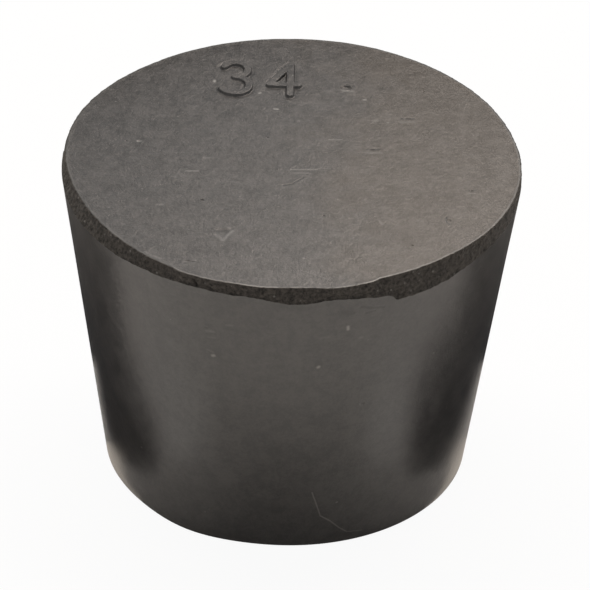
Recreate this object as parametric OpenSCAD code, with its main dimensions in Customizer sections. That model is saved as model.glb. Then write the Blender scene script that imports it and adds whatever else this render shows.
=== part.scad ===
// Solid rubber stopper for glassware: one compression moulding, trimmed in a
// round die. It stands on its small end, on z = 0, with +Z towards the large end.

/* [Body] */
// Largest diameter, where the tapered wall meets the trimmed rim
large_end_d = 34; // [30:0.5:60]
// Diameter of the small end, to the sharp corner that its edge would have
small_end_d = 27; // [12:0.5:33]
// Length from the small end to the large end
length = 25.4; // [15:0.1:60]
// Radius moulded on the edge of the small end
small_end_edge_r = 0.3; // [0.1:0.1:2]

/* [Trimmed rim] */
// Height of the band that the trimming die cuts, where it's of mean height
rim_band_h = 1.05; // [0.4:0.05:3]
// Angle at which the band leans in towards the large end
rim_lean = 6.5; // [0:0.5:20]
// Radius on the edge between the band and the large end
rim_edge_r = 0.1; // [0.05:0.05:0.3]
// How far off the moulding's axis the trimming die cut
die_offset = 0.1; // [0:0.01:0.2]
// Direction in which the die was off, measured from +X towards +Y
die_direction = 135; // [0:5:355]

/* [Hidden] */
$fn = 96;
body_colour = [0.22, 0.21, 0.20];
// Straight steps that make up each rounded edge of a section
edge_steps = 6;
// Taper of the wall from the axis, between the small end's corner and the rim
wall_lean = atan((large_end_d - small_end_d) / 2 / (length - rim_band_h));
// Radius of the large end's flat face, to its sharp corner
large_face_r = large_end_d / 2 - rim_band_h * tan(rim_lean);

// Half section of a tapered plug. It stands on the x axis, its wall leans out by
// `lean`, and an arc that is tangent to base and wall rounds its bottom corner.
module plug_section(base_r, lean, h, edge_r) {
    arc_x = base_r - edge_r * tan((90 - lean) / 2);
    arc_sweep = 90 - lean;
    edge = [
        for (i = [0 : edge_steps])
            let (a = -90 + arc_sweep * i / edge_steps)
                [arc_x + edge_r * cos(a), edge_r + edge_r * sin(a)]
    ];
    polygon(concat([[0, 0]], edge, [[base_r + h * tan(lean), h], [0, h]]));
}

// The moulding before it is trimmed. Its wall keeps its taper up to the large
// end, where the flash began.
module moulding() {
    rotate_extrude()
        plug_section(small_end_d / 2, wall_lean, length, small_end_edge_r);
}

// What stands inside the die's edge. The cut leans, and the die isn't quite on
// the moulding's axis, so the band is taller on one side of the rim.
module inside_of_die() {
    rotate(die_direction)
        translate([die_offset, 0, length])
            mirror([0, 0, 1])
                rotate_extrude()
                    plug_section(large_face_r, rim_lean, length, rim_edge_r);
}

module stopper() {
    color(body_colour)
        intersection() {
            moulding();
            inside_of_die();
        }
}

stopper();
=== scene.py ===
"""The looks of a solid rubber stopper: one black moulding with a plain number raised on its large end, a torn
rim where the trimming die cut it, the marks of use and painted shade and highlights round its dents, on a
pale bench under soft light."""

import logging
import math
from dataclasses import dataclass, field
from enum import Enum
from typing import Callable

import bpy
import numpy as np
from mathutils import Euler, Matrix, Vector, noise
from mathutils.geometry import delaunay_2d_cdt


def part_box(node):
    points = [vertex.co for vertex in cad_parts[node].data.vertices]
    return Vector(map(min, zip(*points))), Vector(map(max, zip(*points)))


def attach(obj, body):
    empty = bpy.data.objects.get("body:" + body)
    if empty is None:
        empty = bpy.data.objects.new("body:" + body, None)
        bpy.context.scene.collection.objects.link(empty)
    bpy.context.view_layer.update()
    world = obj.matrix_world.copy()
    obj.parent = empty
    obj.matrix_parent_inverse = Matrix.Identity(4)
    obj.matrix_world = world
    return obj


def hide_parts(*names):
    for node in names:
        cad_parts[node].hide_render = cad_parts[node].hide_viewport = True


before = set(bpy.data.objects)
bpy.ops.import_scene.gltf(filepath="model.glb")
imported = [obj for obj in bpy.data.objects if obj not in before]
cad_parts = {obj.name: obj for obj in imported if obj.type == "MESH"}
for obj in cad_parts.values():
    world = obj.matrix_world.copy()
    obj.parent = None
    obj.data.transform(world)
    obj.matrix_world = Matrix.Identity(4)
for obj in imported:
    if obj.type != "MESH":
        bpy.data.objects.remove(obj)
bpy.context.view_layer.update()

MM = 0.001
NODE = "stopper"
PIECE = "stopper_moulding"
GRAIN_FALL = 0.6
GRAIN_STEP = 2.1
WELD = 1e-7
TINY = 1e-6

log = logging.getLogger("stopper")

Socket = bpy.types.NodeSocket
Point = tuple[float, float]
Place = tuple[float, float, float]
Colour = tuple[float, float, float]
Row = tuple[float, ...]


# --- Small helpers ---


def smooth_step(value: np.ndarray | float, low: float, high: float) -> np.ndarray:
    """Eases from 0 at low to 1 at high.

    Args:
        value: what is eased.
        low: where the result leaves 0.
        high: where it reaches 1.

    Returns:
        The eased share, as an array.
    """
    share = np.clip((np.asarray(value, float) - low) / (high - low), 0.0, 1.0)
    return share * share * (3.0 - 2.0 * share)


def around(azimuth: np.ndarray, radius: np.ndarray | float) -> tuple[np.ndarray, np.ndarray]:
    """Turns azimuths into places across the axis.

    Args:
        azimuth: degrees from the front (-Y) towards +X.
        radius: distance from the axis.

    Returns:
        The x and y of each place.
    """
    angle = np.radians(azimuth)
    return radius * np.sin(angle), -radius * np.cos(angle)


def rows(x: np.ndarray, y: np.ndarray, z: np.ndarray | float = 0.0) -> np.ndarray:
    """Rows of x, y and z, where z is one height for all or one for each."""
    return np.stack([x, y, np.broadcast_to(z, x.shape)], axis=1)


def grain(points: np.ndarray, cell: float, octaves: int) -> np.ndarray:
    """Fractal noise at each point, from about -1 to 1.

    Args:
        points: rows of x, y, z in millimetres.
        cell: size of the largest grains, in millimetres.
        octaves: how many times finer grains are added.

    Returns:
        One value for each point.
    """
    scaled = points / cell
    return np.array([noise.fractal(Vector(p), GRAIN_FALL, GRAIN_STEP, octaves) for p in scaled])


@dataclass(frozen=True)
class Waver:
    """Random variation over a surface: its size, the size of its largest grains in millimetres, their layers,
    how far off the grain is sampled, and how far the variation leans to one side."""

    size: float
    cell: float
    octaves: int = 2
    shift: float = 0.0
    lean: float = 0.0

    def at(self, points: np.ndarray) -> np.ndarray:
        """The variation at each row of x, y and z."""
        return self.size * (grain(points + self.shift, self.cell, self.octaves) + self.lean)


# --- The moulding's form ---


@dataclass(frozen=True)
class Taper:
    """The plain plug: a cone on a rounded small end. Sizes are in millimetres."""

    foot_r: float = 13.5
    mouth_r: float = 17.0
    rim_band: float = 1.05
    foot_edge_r: float = 0.3
    length: float = 25.4

    @property
    def lean(self) -> float:
        """Growth of the wall's radius for each millimetre of height."""
        return (self.mouth_r - self.foot_r) / (self.length - self.rim_band)

    def wall_radius(self, height: np.ndarray | float) -> np.ndarray | float:
        """Radius of the moulded wall at a height."""
        return self.foot_r + self.lean * height

    def foot_edge(self, steps: int) -> list[Point]:
        """The rounded edge of the small end.

        Args:
            steps: number of spans in the arc.

        Returns:
            Radius and height of each point, from the flat end up to the wall.
        """
        tilt = math.atan(self.lean)
        centre = self.foot_r + self.lean * self.foot_edge_r - self.foot_edge_r / math.cos(tilt)
        turns = np.linspace(-math.pi / 2, -tilt, steps + 1)
        return [
            (centre + self.foot_edge_r * math.cos(t), self.foot_edge_r * (1 + math.sin(t))) for t in turns
        ]


@dataclass(frozen=True)
class RimStation:
    """One place on the trimmed rim: its azimuth in degrees from the front towards +X, the radius of the
    face's edge there and the height of the torn band under it, in millimetres."""

    azimuth: float
    edge_r: float
    band: float


@dataclass(frozen=True)
class Nick:
    """A dent torn out of the band. Azimuth in degrees, the rest in millimetres; drop is how far its middle is
    below the face, and slant how far it leans sideways for each millimetre down."""

    azimuth: float
    drop: float
    width: float
    height: float
    depth: float
    slant: float = 0.0


@dataclass
class TrimmedRim:
    """The band that the trimming die tore, between the moulded wall and the large end. The edge of the face
    wavers less at the back, by the back's share. A nick is as deep as it gets inside its floor's share."""

    taper: Taper
    fillet: float = 0.11
    edge_jitter: float = 0.040
    edge_cell: float = 0.6
    edge_octaves: int = 4
    back_share: float = 0.4
    border: Waver = Waver(0.085, 1.0, octaves=5)
    border_slice: float = 40.0
    tears: tuple[Waver, ...] = (
        Waver(0.070, 1.1, octaves=3, lean=0.45),
        Waver(0.050, 0.28, shift=50.0, lean=0.5),
    )
    nick_floor: float = 0.25
    corner_ease: float = 0.5
    stations: tuple[RimStation, ...] = tuple(
        RimStation(*row)
        for row in (
            (-180, 16.90, 0.82), (-162, 16.86, 0.72), (-140, 16.81, 0.78), (-126, 16.90, 0.62),
            (-117, 16.97, 0.60), (-109, 16.99, 0.66), (-100, 16.955, 0.72), (-95, 16.915, 0.79),
            (-90, 16.86, 0.86), (-80, 16.66, 1.02), (-68, 16.52, 1.16), (-57, 16.54, 1.14),
            (-44, 16.66, 1.08), (-38, 16.76, 1.00), (-30, 16.84, 0.98), (-28.4, 17.00, 0.88),
            (-21, 17.01, 0.86), (-14, 16.91, 0.85), (-7, 16.95, 0.88), (-4, 16.88, 1.08),
            (-1.5, 16.82, 1.25), (1, 16.79, 1.31), (3.5, 16.80, 1.28), (6.5, 16.83, 1.16), (9, 16.95, 1.06),
            (11.4, 17.05, 0.98), (17, 16.96, 1.12), (22, 16.86, 1.28), (23.2, 16.64, 1.34),
            (26.2, 16.63, 1.44), (27.6, 16.65, 2.06), (36, 16.68, 1.98), (44.5, 16.73, 1.88),
            (46.5, 16.76, 1.72), (52, 16.84, 1.56), (60, 16.94, 1.44), (72, 17.00, 1.36), (86, 17.02, 1.10),
            (96, 16.95, 1.02), (108, 16.84, 1.12), (128, 16.88, 0.98), (150, 16.93, 0.90),
            (165, 16.98, 0.80), (180, 16.90, 0.82),
        )
    )
    nicks: tuple[Nick, ...] = tuple(
        Nick(*row)
        for row in (
            (-23.6, 0.55, 0.30, 0.75, 0.22, 0.5), (-21.4, 0.30, 0.35, 0.35, 0.10),
            (-42.3, 0.02, 0.30, 0.22, 0.12), (-62.0, 0.05, 0.40, 0.25, 0.12),
            (-33.0, 0.75, 0.35, 0.25, 0.09), (-8.0, 0.80, 0.40, 0.20, 0.08), (24.5, 0.40, 0.50, 0.30, 0.09),
            (29.5, 1.75, 0.50, 0.40, 0.12), (38.0, 1.20, 0.60, 0.45, 0.10), (45.0, 1.75, 0.35, 0.30, 0.10),
            (55.0, 0.60, 0.50, 0.40, 0.10), (78.0, 0.90, 0.45, 0.40, 0.12), (112.0, 0.55, 0.60, 0.35, 0.10),
            (139.0, 0.30, 0.30, 0.30, 0.10), (171.0, 0.50, 0.40, 0.40, 0.13),
            (-151.0, 0.45, 0.50, 0.30, 0.10), (-124.0, 0.25, 0.30, 0.30, 0.12),
            (-96.0, 0.60, 0.45, 0.35, 0.10), (-59.0, 0.02, 0.30, 0.24, 0.15),
            (-54.5, 0.02, 0.22, 0.20, 0.13), (-49.0, 0.02, 0.26, 0.22, 0.13),
            (-39.0, 0.02, 0.24, 0.20, 0.12),
        )
    )

    def _between(self, azimuth: np.ndarray, values: list[float]) -> np.ndarray:
        """Straight runs between the stations, with each corner slightly eased.

        Args:
            azimuth: where the values are wanted, in degrees.
            values: one value for each station.

        Returns:
            One value for each azimuth.
        """
        marks = [s.azimuth for s in self.stations]
        ease = np.array([-self.corner_ease, 0.0, self.corner_ease])
        shifted = (azimuth[:, None] + ease + 180.0) % 360.0 - 180.0
        return np.interp(shifted, marks, values).mean(axis=1)

    def edge_radius(self, azimuth: np.ndarray) -> np.ndarray:
        """Radius of the face's edge.

        Args:
            azimuth: where it's wanted, in degrees.

        Returns:
            One radius for each azimuth, in millimetres.
        """
        plain = self._between(azimuth, [s.edge_r for s in self.stations])
        points = rows(*around(azimuth, self.taper.mouth_r))
        front = (1.0 + np.cos(np.radians(azimuth))) / 2.0
        share = self.back_share + (1.0 - self.back_share) * front
        return plain + self.edge_jitter * share * grain(points, self.edge_cell, self.edge_octaves)

    def border_height(self, azimuth: np.ndarray) -> np.ndarray:
        """Height at which the torn band meets the moulded wall.

        Args:
            azimuth: where it's wanted, in degrees.

        Returns:
            One height for each azimuth, in millimetres.
        """
        band = self._between(azimuth, [s.band for s in self.stations])
        points = rows(*around(azimuth, self.taper.mouth_r), self.border_slice)
        return self.taper.length - band - self.border.at(points)

    def tear_depth(self, azimuth: np.ndarray, points: np.ndarray) -> np.ndarray:
        """How far the torn surface lies inside the die's cut.

        Args:
            azimuth: degrees, one for each point.
            points: rows of x, y, z in millimetres on the clean cut.

        Returns:
            A depth for each point, in millimetres, of 0 or more.
        """
        coarse, fine = (np.clip(tear.at(points), 0, None) for tear in self.tears)
        depth = coarse + fine
        drop = self.taper.length - points[:, 2]
        for nick in self.nicks:
            turn = (azimuth - nick.azimuth + 180.0) % 360.0 - 180.0
            side = np.radians(turn) * self.taper.mouth_r - nick.slant * (drop - nick.drop)
            away = np.hypot(side / (nick.width / 2), (drop - nick.drop) / (nick.height / 2))
            depth = depth + nick.depth * (1.0 - smooth_step(away, self.nick_floor, 1.0))
        return depth


# --- The number and the marks on the large end ---


@dataclass(frozen=True)
class Stroke:
    """A raised line of one width, drawn through places in the number's own frame, in millimetres."""

    places: tuple[Point, ...]
    half: float

    @staticmethod
    def arc(centre: Point, radii: Point, start: float, end: float, steps: int = 24) -> tuple[Point, ...]:
        """Places along part of an ellipse.

        Args:
            centre: the middle of the ellipse.
            radii: its half width and half height.
            start: angle of the first place, in degrees from the x direction.
            end: angle of the last place.
            steps: number of straight spans.

        Returns:
            The places, in order.
        """
        angles = np.radians(np.linspace(start, end, steps + 1))
        across = centre[0] + radii[0] * np.cos(angles)
        return tuple(zip(across, centre[1] + radii[1] * np.sin(angles)))

    def outside(self, x: np.ndarray, y: np.ndarray) -> np.ndarray:
        """How far each place lies outside the stroke's edge.

        Args:
            x: places across, in the number's frame.
            y: places along.

        Returns:
            A distance for each place, negative inside the edge.
        """
        nearest = np.full(x.shape, np.inf)
        for (ax, ay), (bx, by) in zip(self.places, self.places[1:]):
            dx, dy = bx - ax, by - ay
            along = np.clip(((x - ax) * dx + (y - ay) * dy) / (dx * dx + dy * dy), 0.0, 1.0)
            nearest = np.minimum(nearest, np.hypot(x - ax - along * dx, y - ay - along * dy))
        return nearest - self.half


@dataclass
class RaisedNumber:
    """A plain raised 34, the large end's diameter in millimetres. Each figure is drawn by rule and compass in
    lines of one width, moulded as a low flat-topped ridge with steep, slightly worn sides and a hollow round
    it. A bowl, a stem or a bar is given as a share of half the figure's width or height."""

    at: Point = (-2.6, 11.0)
    tall: float = 4.8
    wide: float = 2.7
    gap: float = 0.95
    half: float = 0.29
    bowls: Point = (0.46, 0.54)
    upper_width: float = 0.88
    bowl_open: float = 155.0
    stem: float = 0.45
    bar: float = -0.38
    ridge: float = 0.18
    slope: float = 0.10
    hollow: float = 0.035
    hollow_out: float = 0.34
    hollow_most: float = 1.2
    margin: float = 0.1
    ragged: Waver = Waver(0.022, 0.32)
    hollows: Waver = Waver(1.0, 0.8, shift=9.0, lean=0.55)
    tops: Waver = Waver(0.16, 1.0, shift=31.0)
    strokes: list[Stroke] = field(init=False)

    def __post_init__(self) -> None:
        """Draws both figures."""
        aside = (self.wide + self.gap) / 2
        self.strokes = [*self._three(-aside), *self._four(aside)]

    def _reach(self) -> Point:
        """Half a figure's width and height, to the middle of its strokes."""
        return self.wide / 2 - self.half, self.tall / 2 - self.half

    def _three(self, middle: float) -> list[Stroke]:
        """A three of two round bowls, the lower one larger.

        Args:
            middle: place of the figure's middle across the number.

        Returns:
            Its strokes.
        """
        across, up = self._reach()
        high, low = (share * up for share in self.bowls)
        upper = Stroke.arc((middle, up - high), (self.upper_width * across, high), self.bowl_open, -90.0)
        lower = Stroke.arc((middle, low - up), (across, low), 90.0, -self.bowl_open)
        return [Stroke(upper, self.half), Stroke(lower, self.half)]

    def _four(self, middle: float) -> list[Stroke]:
        """An open-sided four of three straight lines.

        Args:
            middle: place of the figure's middle across the number.

        Returns:
            Its strokes.
        """
        across, up = self._reach()
        stem, bar = middle + self.stem * across, self.bar * up
        top, heel = (stem, up), (middle - across, bar)
        lines = ((top, heel), (heel, (middle + across, bar)), (top, (stem, -up)))
        return [Stroke(line, self.half) for line in lines]

    def outside(self, x: np.ndarray, y: np.ndarray) -> np.ndarray:
        """How far each place on the face lies outside the nearest stroke, negative inside it."""
        return np.min([stroke.outside(x - self.at[0], y - self.at[1]) for stroke in self.strokes], axis=0)

    def height(self, x: np.ndarray, y: np.ndarray) -> np.ndarray:
        """How far the number stands above the face.

        Args:
            x: places across the face.
            y: places along it.

        Returns:
            A height for each place, in millimetres, below 0 in the hollow round a figure.
        """
        total = np.zeros(x.shape)
        near = self.outside(x, y) < self.hollow_out + self.margin
        x, y = x[near], y[near]
        points = rows(x, y)
        away = self.outside(x, y) + self.ragged.at(points)
        depth = self.hollow * np.clip(self.hollows.at(points), 0.0, self.hollow_most)
        tops = self.ridge * (1.0 + self.tops.at(points))
        raised = 1.0 - smooth_step(away, -self.slope / 2, self.slope / 2)
        sunk = smooth_step(away, -self.slope / 2, self.slope) - smooth_step(away, self.slope, self.hollow_out)
        total[near] = tops * raised - depth * sunk
        return total


@dataclass(frozen=True)
class Pit:
    """A round or oval pit in the face, in millimetres. Its floor is a share of its width."""

    at: Point
    width: float
    length: float
    depth: float
    floor: float = 0.35

    def distance(self, x: np.ndarray, y: np.ndarray) -> np.ndarray:
        """Distance outside the pit's edge, 0 inside."""
        away = np.hypot(x - self.at[0], y - self.at[1]) - max(self.width, self.length) / 2
        return np.clip(away, 0.0, None)

    def height(self, x: np.ndarray, y: np.ndarray) -> np.ndarray:
        """How far the pit lowers the face at each place, as a negative height."""
        share = np.hypot((x - self.at[0]) / (self.width / 2), (y - self.at[1]) / (self.length / 2))
        return -self.depth * (1.0 - smooth_step(share, self.floor, 1.0))


@dataclass(frozen=True)
class Dimple:
    """A shallow three-cornered dent in the face, in millimetres."""

    corners: tuple[Point, Point, Point]
    depth: float
    slope: float

    def _inside(self, x: np.ndarray, y: np.ndarray) -> np.ndarray:
        """How far each place is inside the three sides.

        Args:
            x: places across the face.
            y: places along it.

        Returns:
            A distance for each place, negative outside.
        """
        reach = []
        for (ax, ay), (bx, by) in zip(self.corners, self.corners[1:] + self.corners[:1]):
            span = math.hypot(bx - ax, by - ay)
            reach.append(((bx - ax) * (y - ay) - (by - ay) * (x - ax)) / span)
        return np.min(reach, axis=0)

    def distance(self, x: np.ndarray, y: np.ndarray) -> np.ndarray:
        """Distance outside the dent's edge, 0 inside."""
        return np.clip(-self._inside(x, y), 0.0, None)

    def height(self, x: np.ndarray, y: np.ndarray) -> np.ndarray:
        """How far the dent lowers the face at each place, as a negative height."""
        return -self.depth * smooth_step(self._inside(x, y), 0.0, self.slope)


@dataclass
class LargeEnd:
    """The face of the large end: nearly flat, with the number and the dents of use. The mesh's cells are fine
    at each detail and grow away from it. The first cells are so many fine ones wide, and a cell is split
    until its size, times the given share, is no more than the size wanted there."""

    taper: Taper
    number: RaisedNumber = field(default_factory=RaisedNumber)
    swell: Waver = Waver(0.014, 6.0)
    cell_fine: float = 0.032
    cell_coarse: float = 0.34
    cell_growth: float = 0.22
    first_cells: int = 16
    split_share: float = 0.75
    rim_room: float = 0.6
    dents: tuple[Pit | Dimple, ...] = (
        Dimple(((-5.70, -9.10), (-4.95, -10.95), (-4.02, -9.05)), 0.040, 0.30),
        *(
            Pit(*row)
            for row in (
                ((-6.52, -5.51), 0.34, 0.42, 0.09), ((3.88, 10.22), 0.96, 0.68, 0.11),
                ((4.10, 9.72), 0.55, 0.30, 0.03), ((-7.25, -13.60), 0.95, 0.28, 0.05),
                ((11.54, -7.40), 0.45, 0.40, 0.05), ((5.9, 1.77), 0.60, 0.24, 0.045),
                ((8.5, 6.12), 0.60, 0.24, 0.04), ((13.24, -3.40), 0.35, 0.16, 0.05),
                ((-12.34, 2.14), 0.24, 0.24, 0.04), ((-11.37, 2.18), 0.30, 0.26, 0.05),
                ((8.9, -10.8), 0.22, 0.26, 0.05), ((2.4, -7.2), 0.30, 0.24, 0.04),
                ((-1.9, 3.1), 0.24, 0.20, 0.04), ((9.7, 9.9), 0.22, 0.22, 0.04),
            )
        ),
    )

    def height(self, x: np.ndarray, y: np.ndarray) -> np.ndarray:
        """Height of the face above its plane.

        Args:
            x: places across the face.
            y: places along it.

        Returns:
            A height for each place, in millimetres.
        """
        total = self.swell.at(rows(x, y)) + self.number.height(x, y)
        for dent in self.dents:
            total = total + dent.height(x, y)
        return total

    def _wanted_cell(self, x: np.ndarray, y: np.ndarray, rim_r: float, rim_cell: float) -> np.ndarray:
        """The size of mesh cell that each place needs, in millimetres.

        Args:
            x: places across.
            y: places along.
            rim_r: radius of the ring that bounds the mesh.
            rim_cell: spacing of that ring's points.

        Returns:
            A cell size for each place.
        """
        near = np.clip(np.abs(self.number.outside(x, y)) - self.number.slope, 0.0, None)
        for dent in self.dents:
            near = np.minimum(near, dent.distance(x, y))
        by_detail = self.cell_fine + self.cell_growth * near
        by_rim = rim_cell + 2 * self.cell_growth * np.clip(rim_r - np.hypot(x, y), 0.0, None)
        return np.clip(np.minimum(by_detail, by_rim), self.cell_fine, self.cell_coarse)

    def inner_points(self, rim_r: float, rim_cell: float) -> np.ndarray:
        """Places for the face's mesh points inside its rim, close together where there is detail.

        Args:
            rim_r: radius of the ring that bounds the mesh, at its narrowest.
            rim_cell: spacing of that ring's points.

        Returns:
            Rows of x and y, in millimetres.
        """
        size = self.first_cells * self.cell_fine
        count = int(math.ceil(2 * rim_r / size))
        line = (np.arange(count) - (count - 1) / 2) * size
        x, y = (part.ravel() for part in np.meshgrid(line, line))
        kept = []
        while len(x):
            done = self._wanted_cell(x, y, rim_r, rim_cell) >= size * self.split_share
            done |= np.hypot(x, y) > rim_r + size
            kept.append(np.stack([x[done], y[done]], axis=1))
            x, y = x[~done], y[~done]
            size = size / 2
            x = np.concatenate([x + dx * size / 2 for dx in (-1, 1) for _ in (-1, 1)])
            y = np.concatenate([y + dy * size / 2 for _ in (-1, 1) for dy in (-1, 1)])
        places = np.concatenate(kept)
        room = rim_r - self.rim_room * rim_cell
        return places[np.hypot(places[:, 0], places[:, 1]) < room]


# --- The skin's mesh ---


class Region(Enum):
    """The parts of the skin that are finished differently. The value is the mesh's material slot."""

    FACE = 0
    BAND = 1
    WALL = 2
    LIP = 3


class Skin:
    """Collects a closed skin ring by ring, from the small end's middle, up the wall and in over the face."""

    def __init__(self) -> None:
        """Starts an empty skin."""
        self.points: list[np.ndarray] = []
        self.faces: list[tuple[int, ...]] = []
        self.regions: list[int] = []
        self.last = np.zeros(0, int)

    def _add(self, x: np.ndarray, y: np.ndarray, z: np.ndarray | float) -> np.ndarray:
        """Adds points.

        Args:
            x: places across, in millimetres.
            y: places along, in millimetres.
            z: heights, or one height for all.

        Returns:
            The points' numbers in the mesh.
        """
        first = sum(len(points) for points in self.points)
        self.points.append(rows(x, y, z))
        return np.arange(first, first + len(x))

    def _face(self, corners: tuple[int, ...], region: Region) -> None:
        """Adds one face of a region."""
        self.faces.append(tuple(int(c) for c in corners))
        self.regions.append(region.value)

    def begin(self, azimuth: np.ndarray, radius: float, region: Region) -> None:
        """Starts with a flat disc at no height.

        Args:
            azimuth: the azimuths of its rim, in degrees.
            radius: its radius.
            region: the region of its faces.
        """
        centre = int(self._add(np.zeros(1), np.zeros(1), 0.0)[0])
        self.last = self._add(*around(azimuth, radius), 0.0)
        for a, b in zip(self.last, np.roll(self.last, -1)):
            self._face((b, a, centre), region)

    def ring(
        self, azimuth: np.ndarray, radius: np.ndarray | float, z: np.ndarray | float, region: Region
    ) -> None:
        """Adds a ring and joins the last one to it. It may have a whole number of times as many points.

        Args:
            azimuth: the ring's azimuths, in degrees.
            radius: radius of each of its points.
            z: height of each of its points.
            region: the region of the faces between.
        """
        before, self.last = self.last, self._add(*around(azimuth, radius), z)
        if len(before) < len(self.last):
            self._join_finer(before, region)
            return
        for corners in zip(before, np.roll(before, -1), np.roll(self.last, -1), self.last):
            self._face(corners, region)

    def _join_finer(self, before: np.ndarray, region: Region) -> None:
        """Joins a ring to the last one, which has more points, by fans of triangles.

        Args:
            before: numbers of the ring's points.
            region: the region of the faces between.
        """
        times = len(self.last) // len(before)
        half = times // 2
        for i, (a, b) in enumerate(zip(before, np.roll(before, -1))):
            fine = [self.last[(i * times + k) % len(self.last)] for k in range(times + 1)]
            for k in range(times):
                self._face((a if k < half else b, fine[k + 1], fine[k]), region)
            self._face((a, b, fine[half]), region)

    def fill(self, x: np.ndarray, y: np.ndarray, z: np.ndarray, region: Region) -> None:
        """Fills the last ring with triangles through given inner points.

        Args:
            x: inner points' places across.
            y: inner points' places along.
            z: inner points' heights.
            region: the region of the new faces.
        """
        rim = np.concatenate(self.points)[self.last]
        names = np.concatenate([self.last, self._add(x, y, z)])
        flat = [Vector(p) for p in rim[:, :2]] + [Vector(p) for p in np.stack([x, y], axis=1)]
        found = delaunay_2d_cdt(flat, [], [list(range(len(rim)))], 1, WELD)
        own = [ids[0] for ids in found[3]]
        for triangle in found[2]:
            self._face(tuple(names[own[corner]] for corner in triangle), region)

    def mesh(self, name: str) -> bpy.types.Mesh:
        """Makes the mesh, in metres, smooth except along the line where the band meets the wall.

        Args:
            name: the mesh's name.

        Returns:
            The mesh, with one material slot number for each region.
        """
        made = bpy.data.meshes.new(name)
        made.from_pydata(np.concatenate(self.points) * MM, [], self.faces)
        made.polygons.foreach_set("material_index", self.regions)
        made.polygons.foreach_set("use_smooth", [True] * len(self.faces))
        self._sharpen_border(made)
        made.validate()
        made.update()
        return made

    def _sharpen_border(self, made: bpy.types.Mesh) -> None:
        """Marks the edges between the band and the wall as sharp.

        Args:
            made: the mesh of this skin.
        """
        met: dict[tuple[int, int], set[int]] = {}
        for polygon, region in zip(made.polygons, self.regions):
            if region in (Region.BAND.value, Region.WALL.value):
                for key in polygon.edge_keys:
                    met.setdefault(key, set()).add(region)
        for edge in made.edges:
            edge.use_edge_sharp = len(met.get(edge.key, ())) > 1


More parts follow.
